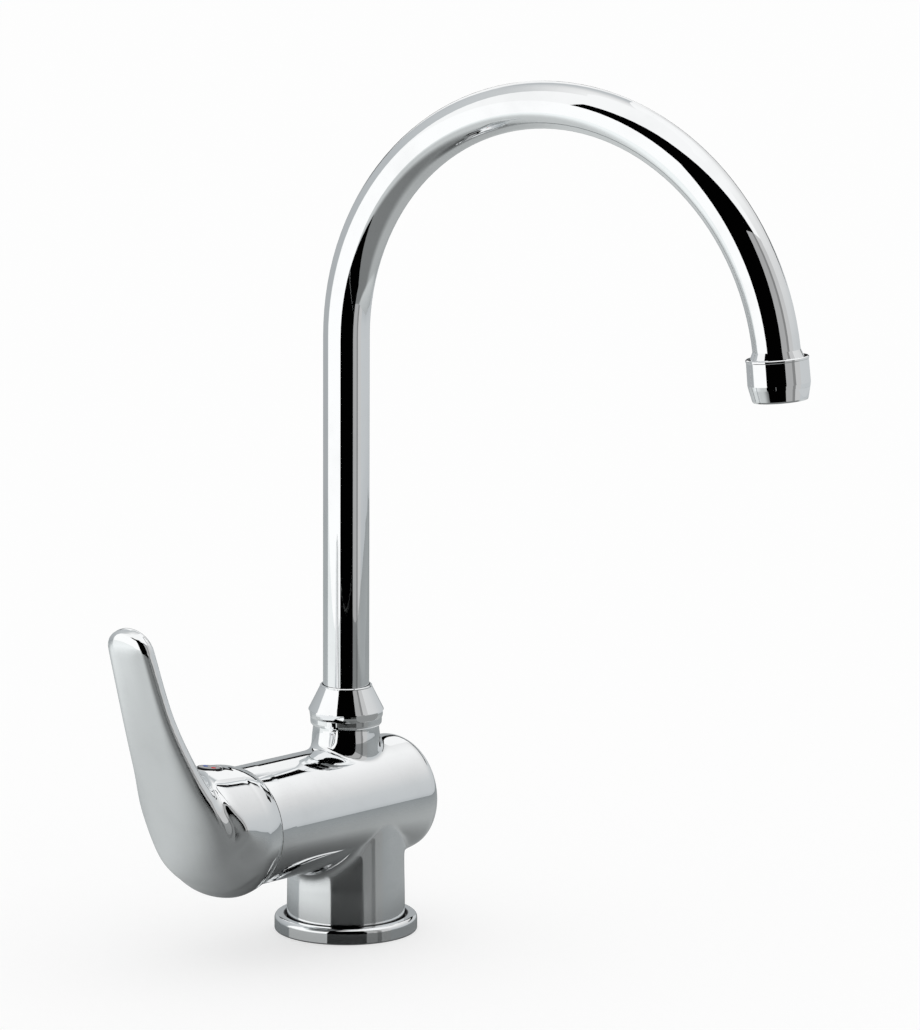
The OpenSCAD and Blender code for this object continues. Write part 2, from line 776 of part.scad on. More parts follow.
module lever_handle() {
    stem_hole = stem_w + 2 * seat_gap;
    stem_end = stem_out + 0.4;
    color("silver") difference() {
        union() {
            along_barrel() rotate_extrude() collar_outline();
            crown();
            blade();
        }
        along_barrel() {
            rod(collar_bore_d / 2, -bore_deep, collar_r);
            rod(hub_bore_r, -hub_in, collar_r);
            translate([-stem_hole / 2, -stem_hole / 2, -stem_end]) cube([stem_hole, stem_hole, stem_end]);
        }
        along_grub() rod(grub_d / 2, 0, grub_run / cos(grub_lean) + 0.6);
        on_crown() rod(indicator_d / 2 + seat_gap, indicator_seat, collar_r + 2 * overlap);
    }
}

module grub_screw() {
    tip_h = 1.6;
    tip_gap = 0.35;
    key_r = 1.45;
    color("gray") along_grub() translate([0, 0, tip_gap]) difference() {
        union() {
            cylinder(r1 = 0.6, r2 = grub_d / 2 - seat_gap, h = tip_h);
            rod(grub_d / 2 - seat_gap, tip_h, grub_len);
        }
        translate([0, 0, grub_len - 2.5]) cylinder(r = key_r, h = 3, $fn = 6);
    }
}

module dot_place(side) {
    translate([0, side * dot_pitch / 2, indicator_seat + indicator_t - dot_t]) children();
}

module indicator_plug() {
    color("whitesmoke") on_crown() difference() {
        rod(indicator_d / 2, indicator_seat, indicator_seat + indicator_t);
        for (side = [-1, 1]) dot_place(side) cylinder(d = dot_d, h = 2 * dot_t);
    }
}

module cold_mark() {
    color("royalblue") on_crown() dot_place(1) cylinder(d = dot_d - seat_gap, h = dot_t + seat_gap);
}

module hot_mark() {
    color("crimson") on_crown() dot_place(-1) cylinder(d = dot_d - seat_gap, h = dot_t + seat_gap);
}

module spout_tube() {
    color("silver") difference() {
        rotate([0, 0, spout_azimuth]) union() {
            ring(tube_r, tube_bore_r, tube_foot_z, arch_z);
            translate([arch_r, 0, arch_z]) rotate([90, 0, 0]) mirror([1, 0, 0])
                rotate_extrude(angle = arch_sweep + 2) translate([arch_r, 0]) difference() {
                    circle(r = tube_r);
                    circle(r = tube_bore_r);
                }
        }
        at_outlet() translate([-tube_d, -tube_d, 0]) cube([2 * tube_d, 2 * tube_d, tube_d]);
    }
}

module oring_places() {
    for (i = [0, 1]) translate([0, 0, bush_foot_z + oring_first + i * oring_pitch]) children();
}

module spout_bush() {
    groove_w = oring_t + 0.4;
    color("goldenrod") difference() {
        union() {
            rod(bush_d / 2, bush_foot_z, flange_top_z);
            rod(flange_d / 2 - seat_gap, flange_z, flange_top_z);
        }
        rod(bush_bore_d / 2, bush_foot_z - overlap, flange_top_z);
        rod(tube_r + run_gap, tube_foot_z - seat_gap, flange_top_z + overlap);
        oring_places() ring(bush_d, boss_bore_r - oring_t - seat_gap, -groove_w / 2, groove_w / 2);
    }
}

module spout_o_rings() {
    color("dimgray") oring_places()
        rotate_extrude() translate([boss_bore_r - oring_t / 2 - run_gap, 0]) circle(d = oring_t);
}

module outlet_ferrule() {
    color("silver") at_outlet() difference() {
        union() {
            cylinder(r1 = tube_r, r2 = ferrule_d / 2, h = ferrule_h);
            rod(spigot_r, ferrule_h, thread_end);
        }
        rod(tube_bore_r, -overlap, thread_end + overlap);
    }
}

module aerator_shell() {
    taper_z = shell_end - aerator_taper_h;
    insert_z = thread_end + washer_t;
    color("silver") at_outlet() difference() {
        rotate_extrude() polygon([
            [0, ferrule_h],
            [shell_r - 0.4, ferrule_h],
            [shell_r, ferrule_h + 0.3],
            [shell_r, ferrule_h + 0.9],
            [shell_r - 0.2, ferrule_h + 1.2],
            [shell_r - 0.1, taper_z - 0.8],
            [shell_r - 0.35, taper_z + 0.6],
            [aerator_foot_d / 2 + 0.3, shell_end - 0.6],
            [aerator_foot_d / 2, shell_end],
            [0, shell_end]
        ]);
        rod(aerator_thread_d / 2, ferrule_h - overlap, insert_z);
        rod(insert_r + seat_gap, ferrule_h, shell_end - mouth_lip);
        rod(mouth_r, ferrule_h, shell_end + overlap);
        for (side = [-1, 1])
            translate([side * (aerator_flats + aerator_d) / 2, 0, taper_z + 1 + aerator_h / 2])
            cube([aerator_d, aerator_d, aerator_h], center = true);
    }
}

module aerator_insert() {
    top_z = thread_end + washer_t + run_gap;
    plate_t = 1.5;
    holes = 12;
    color("white") at_outlet() difference() {
        rod(insert_r, top_z, shell_end - mouth_lip - screen_t);
        rod(insert_r - 1.3, top_z + plate_t, shell_end);
        for (k = [0:holes - 1]) rotate([0, 0, k * 360 / holes])
            translate([insert_r * 0.6, 0, top_z - overlap]) cylinder(r = 0.8, h = 4, $fn = 6);
    }
}

module aerator_screen() {
    reach = floor((mouth_r - 0.6) / mesh_pitch);
    hole = mesh_pitch - 0.5;
    color("dimgray") at_outlet() difference() {
        rod(insert_r, shell_end - mouth_lip - screen_t + run_gap, shell_end - mouth_lip);
        for (i = [-reach:reach]) for (j = [-reach:reach])
            if (norm([i, j]) * mesh_pitch < mouth_r - hole)
                translate([i * mesh_pitch - hole / 2, j * mesh_pitch - hole / 2, shell_end - 3])
                    cube([hole, hole, 4]);
    }
}

module aerator_washer() {
    color("dimgray") at_outlet()
        ring(spigot_r - seat_gap, tube_bore_r, thread_end + run_gap, thread_end + washer_t);
}

body_casting();
base_ring();
base_seal();
spout_nut();
slide_rings();
cartridge_housing();
cartridge_base();
port_seals();
fixed_disc();
cartridge_nut();
lever_guide();
pivot_pin();
disc_carrier();
sliding_disc();
lever_stem();
lever_handle();
grub_screw();
indicator_plug();
cold_mark();
hot_mark();
spout_tube();
spout_bush();
spout_o_rings();
outlet_ferrule();
aerator_shell();
aerator_insert();
aerator_screen();
aerator_washer();
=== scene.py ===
import json
import math

import bpy
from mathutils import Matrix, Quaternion, Vector

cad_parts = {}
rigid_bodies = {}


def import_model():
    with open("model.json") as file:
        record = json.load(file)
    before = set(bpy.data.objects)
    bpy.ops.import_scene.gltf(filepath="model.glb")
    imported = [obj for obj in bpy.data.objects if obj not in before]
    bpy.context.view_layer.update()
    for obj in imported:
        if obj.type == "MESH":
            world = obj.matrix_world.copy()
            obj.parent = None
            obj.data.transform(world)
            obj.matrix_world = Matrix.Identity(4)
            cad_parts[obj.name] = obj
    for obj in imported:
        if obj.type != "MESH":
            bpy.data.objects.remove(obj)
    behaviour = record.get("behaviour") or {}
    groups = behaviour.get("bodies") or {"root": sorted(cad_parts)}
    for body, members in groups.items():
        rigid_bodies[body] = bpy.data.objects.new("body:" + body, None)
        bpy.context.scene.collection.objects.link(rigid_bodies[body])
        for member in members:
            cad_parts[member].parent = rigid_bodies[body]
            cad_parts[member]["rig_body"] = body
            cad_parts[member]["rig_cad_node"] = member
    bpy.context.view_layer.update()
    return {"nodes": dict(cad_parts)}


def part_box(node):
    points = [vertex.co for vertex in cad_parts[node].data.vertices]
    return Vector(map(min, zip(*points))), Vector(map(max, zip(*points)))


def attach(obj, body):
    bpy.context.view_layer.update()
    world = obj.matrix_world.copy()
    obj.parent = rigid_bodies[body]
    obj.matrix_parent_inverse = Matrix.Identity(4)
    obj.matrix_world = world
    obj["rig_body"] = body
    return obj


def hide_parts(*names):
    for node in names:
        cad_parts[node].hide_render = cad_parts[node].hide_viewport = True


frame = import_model()


# Camera: a long lens from the left, a little above the tap
view = {
    "stand": (-1.88214, -1.86413, 0.68918),
    "aim": (0.03053, -0.03187, 0.16521),
    "roll": 0.24,
    "lens": 243.26,
    "sensor": 36.0,
}


def placeCamera():
    lens = bpy.data.cameras.new("photoCamera")
    lens.lens = view["lens"]
    lens.sensor_width = view["sensor"]
    lens.sensor_fit = "AUTO"
    lens.clip_start = 0.05
    lens.clip_end = 60
    camera = bpy.data.objects.new("photoCamera", lens)
    bpy.context.scene.collection.objects.link(camera)
    camera.location = view["stand"]
    look = (Vector(view["aim"]) - Vector(view["stand"])).to_track_quat("-Z", "Y")
    camera.rotation_mode = "QUATERNION"
    camera.rotation_quaternion = look @ Quaternion((0, 0, 1), math.radians(view["roll"]))
    bpy.context.scene.camera = camera


placeCamera()
bpy.context.scene.view_settings.view_transform = "Standard"
print("camera placed")


# Materials: a socket that can be reckoned with, and one way to add any node
class Wire:
    def __init__(self, finish, socket):
        self.finish = finish
        self.socket = socket

    def __add__(self, other):
        return self.finish.reckon("ADD", self, other)

    def __radd__(self, other):
        return self.finish.reckon("ADD", other, self)

    def __sub__(self, other):
        return self.finish.reckon("SUBTRACT", self, other)

    def __rsub__(self, other):
        return self.finish.reckon("SUBTRACT", other, self)

    def __mul__(self, other):
        return self.finish.reckon("MULTIPLY", self, other)

    def __rmul__(self, other):
        return self.finish.reckon("MULTIPLY", other, self)

    def __truediv__(self, other):
        return self.finish.reckon("DIVIDE", self, other)

    def __gt__(self, other):
        return self.finish.reckon("GREATER_THAN", self, other)

    def __lt__(self, other):
        return self.finish.reckon("LESS_THAN", self, other)


class Finish:
    def __init__(self, name, tree=None):
        if tree is None:
            self.material = bpy.data.materials.new(name)
            self.material.use_nodes = True
            tree = self.material.node_tree
        self.tree = tree
        self.tree.nodes.clear()
        self.place = None

    def node(self, kind, settings, sockets, out=0):
        made = self.tree.nodes.new(kind)
        for key, value in settings.items():
            if key == "stops":
                ramp = made.color_ramp
                while len(ramp.elements) < len(value):
                    ramp.elements.new(0.5)
                for element, (at, colour) in zip(ramp.elements, value):
                    element.position = at
                    element.color = colour
            else:
                setattr(made, key, value)
        for key, value in sockets.items():
            if isinstance(value, Wire):
                self.tree.links.new(value.socket, made.inputs[key])
            else:
                made.inputs[key].default_value = value
        return Wire(self, made.outputs[out] if made.outputs else None)

    def reckon(self, operation, *terms):
        return self.node("ShaderNodeMath", {"operation": operation}, dict(enumerate(terms)))

    def smooth(self, value, low, high):
        return self.node(
            "ShaderNodeMapRange",
            {"interpolation_type": "SMOOTHSTEP"},
            {"Value": value, "From Min": low, "From Max": high},
        )

    def point(self):
        if self.place is None:
            self.place = self.node("ShaderNodeTexCoord", {}, {}, "Object")
        return self.place

    def axes(self):
        split = self.node("ShaderNodeSeparateXYZ", {}, {"Vector": self.point()}).socket.node
        return [Wire(self, split.outputs[i]) for i in range(3)]

    def noise(self, scale, detail=3.0, roughness=0.5, stretch=(1, 1, 1)):
        where = self.node("ShaderNodeMapping", {}, {"Vector": self.point(), "Scale": stretch})
        return self.node(
            "ShaderNodeTexNoise",
            {},
            {"Vector": where, "Scale": scale, "Detail": detail, "Roughness": roughness},
        )

    def blend(self, factor, first, second):
        return self.node(
            "ShaderNodeMix",
            {"data_type": "RGBA"},
            {"Factor": factor, 6: first, 7: second},
            2,
        )

    def bump(self, height, strength, distance):
        return self.node(
            "ShaderNodeBump", {}, {"Height": height, "Strength": strength, "Distance": distance}
        )

    def surface(self, sockets):
        shader = self.node("ShaderNodeBsdfPrincipled", {}, sockets)
        self.node("ShaderNodeOutputMaterial", {}, {"Surface": shader})
        return self.material


def grey(level, tint=0.0):
    # a tint takes from the red and adds a little blue
    blueShare = 0.6
    return (level * (1 - tint), level, level * (1 + tint * blueShare), 1)


chromeLook = {
    "level": 0.96,
    "worn": 0.91,
    "tint": 0.012,
    "smudgeScale": 42,
    "smudgeEdge": (0.45, 0.75),
    "fineScale": 588,
    "smooth": 0.02,
    "smudged": 0.055,
    # the level of the painted shade in joints
    "paintedShadeLevel": 0.03,
    "waveScale": 70,
    "wave": 0.000004,
}


def chrome(name, wave=None, inside=None, satin=None, joint=None):
    # plated metal: smudges, and where given slow waves, bare insides, satin and painted shade in
    # joints
    look = chromeLook
    finish = Finish(name)
    smudge = finish.smooth(finish.noise(look["smudgeScale"], 4, 0.6), *look["smudgeEdge"])
    fine = finish.noise(look["fineScale"], 2)
    bright = grey(look["level"], look["tint"])
    worn = grey(look["worn"], look["tint"])
    colour = finish.blend(smudge, bright, worn)
    rough = look["smooth"] + (look["smudged"] - look["smooth"]) * smudge * fine
    if satin is not None:
        rough = rough + satin(finish)
    if inside is not None:
        bare = inside(finish)
        colour = finish.blend(bare, colour, brassColour(finish))
        rough = rough * (1 - bare) + brassLook["castRough"] * bare
    # painted shade: the joint's mask darkens the colour
    if joint is not None:
        colour = finish.blend(joint(finish), colour, grey(look["paintedShadeLevel"]))
    sockets = {"Base Color": colour, "Metallic": 1.0, "Roughness": rough}
    if wave is not None:
        waves = finish.noise(look["waveScale"], 1)
        sockets["Normal"] = finish.bump(waves, 1.0, wave)
    return finish.surface(sockets)


brassLook = {
    "clean": (0.68, 0.5, 0.22, 1),
    "dull": (0.5, 0.34, 0.14, 1),
    "patchScale": 120,
    "patchEdge": (0.35, 0.7),
    "castRough": 0.34,
    "turnedRough": 0.22,
    "grainScale": 900,
    "grainRough": 0.16,
    "toolMarks": 9000,
    "markShare": 0.5,
    "markDepth": 0.00002,
}


def brassColour(finish):
    patches = finish.noise(brassLook["patchScale"], 4, 0.6)
    patches = finish.smooth(patches, *brassLook["patchEdge"])
    return finish.blend(patches, brassLook["clean"], brassLook["dull"])


def bareBrass():
    # turned brass with the tool's fine rings
    look = brassLook
    finish = Finish("bareBrass")
    x, y, z = finish.axes()
    marks = finish.reckon("SINE", z * look["toolMarks"])
    grain = finish.noise(look["grainScale"], 3, 0.6)
    return finish.surface({
        "Base Color": brassColour(finish),
        "Metallic": 1.0,
        "Roughness": look["turnedRough"] + look["grainRough"] * grain,
        "Normal": finish.bump(marks * look["markShare"] + grain, 0.5, look["markDepth"]),
    })


steelLook = {
    "bright": 0.62,
    "dark": 0.44,
    "tint": 0.02,
    "stainScale": 180,
    "grainScale": 1400,
    "grainStretch": (1, 1, 0.12),
    "rough": 0.24,
    "grainRough": 0.2,
    "grainDepth": 0.00001,
}


def plainSteel():
    look = steelLook
    finish = Finish("plainSteel")
    grain = finish.noise(look["grainScale"], 3, 0.6, look["grainStretch"])
    stain = finish.noise(look["stainScale"], 3)
    bright = grey(look["bright"], look["tint"])
    dark = grey(look["dark"], look["tint"])
    return finish.surface({
        "Base Color": finish.blend(stain, bright, dark),
        "Metallic": 1.0,
        "Roughness": look["rough"] + look["grainRough"] * grain,
        "Normal": finish.bump(grain, 0.35, look["grainDepth"]),
    })


mouldLook = {
    "cloudScale": 60,
    "cloudEdge": (0.35, 0.7),
    "grainScale": 2200,
    "grainRough": 0.14,
    "grainDepth": 0.000012,
    "specular": 0.5,
    "joint": (0.02, 0.02, 0.022, 1),
}


def moulded(name, light, dark, rough, edge=None, **changes):
    # injection-moulded plastic: a faint spark-eroded grain and slight flow clouds
    look = {**mouldLook, **changes}
    finish = Finish(name)
    clouds = finish.smooth(finish.noise(look["cloudScale"], 3, 0.5), *look["cloudEdge"])
    grain = finish.noise(look["grainScale"], 2, 0.5)
    colour = finish.blend(clouds, light, dark)
    if edge is not None:
        colour = finish.blend(edge(finish), colour, look["joint"])
    return finish.surface({
        "Base Color": colour,
        "Roughness": rough + look["grainRough"] * grain,
        "Specular IOR Level": look["specular"],
        "Normal": finish.bump(grain, 0.6, look["grainDepth"]),
    })


ceramicLook = {
    "clean": (0.83, 0.82, 0.78, 1),
    "speck": (0.62, 0.6, 0.55, 1),
    "speckScale": 3200,
    "speckEdge": (0.66, 0.74),
    "rough": 0.1,
    "speckRough": 0.2,
}


def ceramic():
    look = ceramicLook
    finish = Finish("whiteCeramic")
    specks = finish.smooth(finish.noise(look["speckScale"], 2, 0.5), *look["speckEdge"])
    return finish.surface({
        "Base Color": finish.blend(specks, look["clean"], look["speck"]),
        "Roughness": look["rough"] + look["speckRough"] * specks,
    })


def away(finish, first, second):
    # distance from an axis, from the two coordinates across it
    return finish.reckon("SQRT", first * first + second * second)


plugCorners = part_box("indicator_plug")
plugPlace = (plugCorners[0] + plugCorners[1]) / 2
plugJoint = (0.0041, 0.0043)


def plugEdge(finish):
    # the dark joint round the indicator
    x, y, z = finish.axes()
    return finish.smooth(away(finish, x - plugPlace.x, y - plugPlace.y), *plugJoint)


# Places on the castings, in metres: radii from the barrel's or the column's axis, and ends
barrelHeight = 0.0505
bareBody = {
    "socketRadius": 0.0205,
    "socketEnd": -0.02,
    "boreRadius": 0.0103,
    "footRadius": 0.018,
    "footTop": 0.04,
    "underside": 0.0031,
}
bareLever = {
    "boreRadius": 0.0209,
    "boreFrom": -0.0716,
    "boreTo": -0.0625,
    "hubRadius": 0.0142,
    "hubFrom": -0.0786,
}
columnLook = {
    "satinTop": (0.026, 0.04),
    "satin": 0.075,
    "polish": 0.015,
    "paintedFootShade": (0.0058, 0.0068),
    "paintedRingShade": (0.0241, 0.0247),
}


def castingInside(finish):
    # bare metal: the collar's socket, the waterways, the bore of the boss and the foot
    x, y, z = finish.axes()
    fromBarrel = away(finish, y, z - barrelHeight)
    fromColumn = away(finish, x, y)
    socket = (fromBarrel < bareBody["socketRadius"]) * (x < bareBody["socketEnd"])
    bore = fromColumn < bareBody["boreRadius"]
    foot = (fromColumn < bareBody["footRadius"]) * (z < bareBody["footTop"])
    under = z < bareBody["underside"]
    return finish.reckon("MINIMUM", socket + bore + foot + under, 1)


def leverInside(finish):
    # bare metal: the bore of the collar and the stem's hole
    x, y, z = finish.axes()
    fromBarrel = away(finish, y, z - barrelHeight)
    along = (x > bareLever["boreFrom"]) * (x < bareLever["boreTo"])
    bore = (fromBarrel < bareLever["boreRadius"]) * along
    hub = (fromBarrel < bareLever["hubRadius"]) * (x > bareLever["hubFrom"])
    return finish.reckon("MINIMUM", bore + hub, 1)


def columnSatin(finish):
    # the column is polished less bright than the barrel
    x, y, z = finish.axes()
    low = 1 - finish.smooth(z, *columnLook["satinTop"])
    return columnLook["polish"] + columnLook["satin"] * low


def paintedFootShade(finish):
    # painted shade in the joint between column and ring, on the column
    x, y, z = finish.axes()
    return 1 - finish.smooth(z, *columnLook["paintedFootShade"])


def paintedRingShade(finish):
    # the same painted shade in the joint, on the ring
    x, y, z = finish.axes()
    return 1 - finish.smooth(away(finish, x, y), *columnLook["paintedRingShade"])


castChrome = chrome("castChrome", chromeLook["wave"], castingInside, columnSatin, paintedFootShade)
ringChrome = chrome("ringChrome", joint=paintedRingShade)
leverChrome = chrome("leverChrome", chromeLook["wave"], leverInside)
turnedChrome = chrome("turnedChrome")
drawnChrome = chrome("drawnChrome")
brass = bareBrass()
steel = plainSteel()
rubber = moulded(
    "blackRubber",
    (0.018, 0.018, 0.019, 1),
    (0.03, 0.03, 0.031, 1),
    0.48,
    grainScale=1500,
    grainDepth=0.00002,
)
whitePlastic = moulded("whitePlastic", (0.8, 0.8, 0.78, 1), (0.74, 0.74, 0.72, 1), 0.3)
greyPlastic = moulded("greyPlastic", (0.52, 0.53, 0.54, 1), (0.44, 0.45, 0.46, 1), 0.22)
plugPlastic = moulded(
    "plugPlastic", (0.5, 0.5, 0.5, 1), (0.4, 0.4, 0.41, 1), 0.4, edge=plugEdge, specular=0.12
)
blueMark = moulded("blueMark", (0.0, 0.1, 0.55, 1), (0.0, 0.08, 0.45, 1), 0.5, specular=0.0)
redMark = moulded("redMark", (0.85, 0.005, 0.01, 1), (0.7, 0.004, 0.008, 1), 0.5, specular=0.0)
whiteCeramic = ceramic()
finishes = {
    "body_casting": castChrome,
    "lever_handle": leverChrome,
    "base_ring": ringChrome,
    "spout_nut": turnedChrome,
    "spout_tube": drawnChrome,
    "outlet_ferrule": turnedChrome,
    "aerator_shell": turnedChrome,
    "base_seal": rubber,
    "port_seals": rubber,
    "spout_o_rings": rubber,
    "aerator_washer": rubber,
    "slide_rings": whitePlastic,
    "cartridge_housing": whitePlastic,
    "cartridge_base": greyPlastic,
    "lever_guide": greyPlastic,
    "disc_carrier": whitePlastic,
    "aerator_insert": whitePlastic,
    "indicator_plug": plugPlastic,
    "fixed_disc": whiteCeramic,
    "sliding_disc": whiteCeramic,
    "cartridge_nut": brass,
    "spout_bush": brass,
    "pivot_pin": steel,
    "lever_stem": steel,
    "grub_screw": steel,
    "aerator_screen": steel,
    "cold_mark": blueMark,
    "hot_mark": redMark,
}
for name, node in frame["nodes"].items():
    for slot in node.material_slots:
        slot.material = finishes[name]
print("finishes made and given to %d nodes" % len(finishes))


# Cast pieces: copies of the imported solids, smoothed like a polished casting
mergeGap = 0.000002
creaseAngle = math.radians(40)
pivot = Vector((-0.0693, 0, barrelHeight))


def copyOf(node, name):
    source = frame["nodes"][node]
    piece = source.copy()
    piece.data = source.data.copy()
    piece.name = name
    piece.parent = None
    bpy.context.scene.collection.objects.link(piece)
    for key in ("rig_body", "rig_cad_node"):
        if key in piece:
            del piece[key]
    bpy.ops.object.select_all(action="DESELECT")
    bpy.context.view_layer.objects.active = piece
    piece.select_set(True)
    bpy.ops.mesh.customdata_custom_splitnormals_clear()
    bpy.ops.object.mode_set(mode="EDIT")
    bpy.ops.mesh.select_all(action="SELECT")
    bpy.ops.mesh.remove_doubles(threshold=mergeGap)
    bpy.ops.object.mode_set(mode="OBJECT")
    return piece


def eased(value, low, high):
    # from 0 at low to 1 at high
    t = min(max((value - low) / (high - low), 0), 1)
    return t * t * (3 - 2 * t)


def smooth(piece, passes, weight=None):
    # everywhere alike, or as strongly as a function of the place says
    smoothing = piece.modifiers.new("smoothing", "SMOOTH")
    smoothing.factor = 0.5
    smoothing.iterations = passes
    if weight is not None:
        group = piece.vertex_groups.new(name="smoothed")
        for vertex in piece.data.vertices:
            share = weight(vertex.co)
            if share > 0:
                group.add([vertex.index], share, "REPLACE")
        smoothing.vertex_group = group.name
    bpy.ops.object.modifier_apply(modifier=smoothing.name)
    if weight is not None:
        piece.vertex_groups.clear()


def remesh(piece, voxel):
    piece.data.remesh_voxel_size = voxel
    piece.data.remesh_voxel_adaptivity = 0
    bpy.ops.object.voxel_remesh()


def handOver(piece, body, node):
    bpy.ops.object.shade_smooth_by_angle(angle=creaseAngle)
    print("%s: %d faces" % (piece.name, len(piece.data.polygons)))
    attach(piece, body)
    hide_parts(node)


# The hollow is the crease between the blade and the crown's shoulders, in millimetres
lever = {
    "voxel": 0.0005,
    "passes": 8,
    "bulbPasses": 45,
    "bulbTop": (0.074, 0.09),
    "bulbEnd": (-0.074, -0.067),
    "plugSeat": (0.007, 0.01),
    "hollowPasses": 160,
    "hollowReach": (2.8, 6.0),
    "hollow": [
        (-82, 0, 76),
        (-85.5, 11, 75),
        (-86.5, 17, 71),
        (-85.5, 22, 65),
        (-83.5, 22.5, 60),
        (-82.5, 23, 55),
        (-80.5, 24.5, 50),
    ],
}


def onBulb(point):
    # the bulb and the blade's foot, apart from the indicator's seat and the collar's edge
    below = 1 - eased(point.z, *lever["bulbTop"])
    outward = 1 - eased(point.x, *lever["bulbEnd"])
    return below * outward * eased((point - plugPlace).length, *lever["plugSeat"])


def inHollow(point):
    at = Vector((point.x, abs(point.y), point.z)) * 1000
    nearest = 1000.0
    for start, end in zip(lever["hollow"], lever["hollow"][1:]):
        first = Vector(start)
        run = Vector(end) - first
        share = min(max((at - first).dot(run) / run.length_squared, 0), 1)
        nearest = min(nearest, (at - first - run * share).length)
    return 1 - eased(nearest, *lever["hollowReach"])


leverPiece = copyOf("lever_handle", "leverCasting")
remesh(leverPiece, lever["voxel"])
smooth(leverPiece, lever["passes"])
smooth(leverPiece, lever["bulbPasses"], onBulb)
smooth(leverPiece, lever["hollowPasses"], inHollow)
handOver(leverPiece, "lever", "lever_handle")


# Socket, rim and lip are radii from the pivot, the lip's two places along the barrel
casting = {
    "voxel": 0.0007,
    "passes": 6,
    "cornerPasses": 60,
    "socket": 0.02635,
    "rim": 0.02605,
    "slack": 0.00004,
    "lipPlaces": (0.0131, 0.0135),
    "lipRadius": 0.0227,
    "lipReach": 0.0015,
    "cut": -0.05,
    "halfBlock": 0.2,
}
footCorner = {
    "low": (0.019, 0.024),
    "high": (0.035, 0.04),
    "inner": (0.0165, 0.0185),
    "outer": (0.027, 0.032),
}
neckCorner = {
    "low": (0.07, 0.074),
    "high": (0.08, 0.083),
    "inner": (0.0112, 0.0122),
    "outer": (0.018, 0.023),
}


def inCorners(point):
    # the corners where the column and the boss run into the barrel
    out = math.hypot(point.x, point.y)
    shares = [
        eased(point.z, *corner["low"])
        * (1 - eased(point.z, *corner["high"]))
        * eased(out, *corner["inner"])
        * (1 - eased(out, *corner["outer"]))
        for corner in (footCorner, neckCorner)
    ]
    return max(shares)


def closeMouth(piece):
    # the visible lip reaches up to the collar, flush like the seam of the real one
    low, high = casting["lipPlaces"]
    for vertex in piece.data.vertices:
        arm = vertex.co - pivot
        if low < arm.x < high and math.hypot(arm.y, arm.z) > casting["lipRadius"]:
            arm.x -= casting["lipReach"]
            if arm.length < casting["rim"]:
                arm = arm * (casting["rim"] / arm.length)
        elif abs(arm.length - casting["socket"]) < casting["slack"]:
            arm = arm * (casting["rim"] / arm.length)
        vertex.co = pivot + arm


def combine(piece, other, operation):
    bpy.ops.object.select_all(action="DESELECT")
    bpy.context.view_layer.objects.active = piece
    piece.select_set(True)
    cut = piece.modifiers.new("cut", "BOOLEAN")
    cut.operation = operation
    cut.solver = "MANIFOLD"
    cut.object = other
    bpy.ops.object.modifier_apply(modifier=cut.name)


def leftOf(place):
    half = casting["halfBlock"]
    bpy.ops.mesh.primitive_cube_add(size=2 * half, location=(place - half, 0, 0))
    return bpy.context.object


bodyPiece = copyOf("body_casting", "bodyCasting")
remesh(bodyPiece, casting["voxel"])
smooth(bodyPiece, casting["passes"])
smooth(bodyPiece, casting["cornerPasses"], inCorners)
# the barrel's end isn't remeshed, so its lip stays sharp
mouthPiece = copyOf("body_casting", "mouthCasting")
closeMouth(mouthPiece)
block = leftOf(casting["cut"])
combine(mouthPiece, block, "INTERSECT")
combine(bodyPiece, block, "DIFFERENCE")
combine(bodyPiece, mouthPiece, "UNION")
bpy.data.objects.remove(block)
bpy.data.objects.remove(mouthPiece)
handOver(bodyPiece, "body", "body_casting")
print("cast pieces smoothed")


# Studio: a pale floor, and cards round it that only the gloss sees, placed from the tap's own
# reflections. Places are metres to the right and to the front, as the camera sees them
studio = {
    "toward": math.radians(223.8),
    "floorSize": 24.0,
    "paleFloor": 0.97,
    "floorGlow": 0.5,
    "tent": 0.97,
    "black": 0.0005,
    "cool": 0.045,
    "coolLevels": (0.5, 0.75),
}
# What the gloss sees of the floor: a table, shaded in front, pale on the left, darker by the foot
# These are painted: shade in front, a pool of light on the left, a contact shadow by the foot
table = {
    "level": 0.42,
    "shade": (0.2, -0.04, 0.13),
    "far": (0.6, 0.44, 0.5),
    "pale": (0.58, 0.0, 0.13),
    "white": (0.97, 0.18, 0.4),
    "whiteFront": (-0.25, -0.04),
    "slant": 0.3,
    "foot": (0.03, 0.1),
    "footShadowLevel": 0.4,
    "polish": 0.84,
    "rightLoss": (0.3, -0.01, 0.08),
    "footShadowPolish": 0.62,
    "polishRough": 0.06,
    "grazing": (0.45, 0.95),
    "tint": (0.965, 1, 1, 1),
    "polishTint": (0.975, 1, 1, 1),
}
noLight = (0, 0, 0, 1)
towards = Vector((math.cos(studio["toward"]), math.sin(studio["toward"]), 0))
rightward = Vector((-towards.y, towards.x, 0))


def tableLevel(finish, right, front, clearOfFootShadow):
    leftward = 0 - right - front * table["slant"]
    shade, far, pale, white = table["shade"], table["far"], table["pale"], table["white"]
    whiteFront = finish.smooth(front, *table["whiteFront"])
    level = table["level"]
    # painted shade in front, then a painted pool of light on the left, pale and then white
    for to, amount in (
        (shade[0], finish.smooth(front, *shade[1:])),
        (far[0], finish.smooth(right, *far[1:])),
        (pale[0], finish.smooth(leftward, *pale[1:])),
        (white[0], finish.smooth(leftward, *white[1:]) * whiteFront),
    ):
        level = level + (to - level) * amount
    # painted contact shadow: darker by the tap's foot
    return level * (table["footShadowLevel"] + (1 - table["footShadowLevel"]) * clearOfFootShadow)


def tableGloss(finish, right, clearOfFootShadow):
    loss, start, end = table["rightLoss"]
    gloss = table["polish"] - loss * finish.smooth(right, start, end)
    # painted shade: less polish by the tap's foot, so dimmer reflections there
    return gloss * (table["footShadowPolish"] + (1 - table["footShadowPolish"]) * clearOfFootShadow)


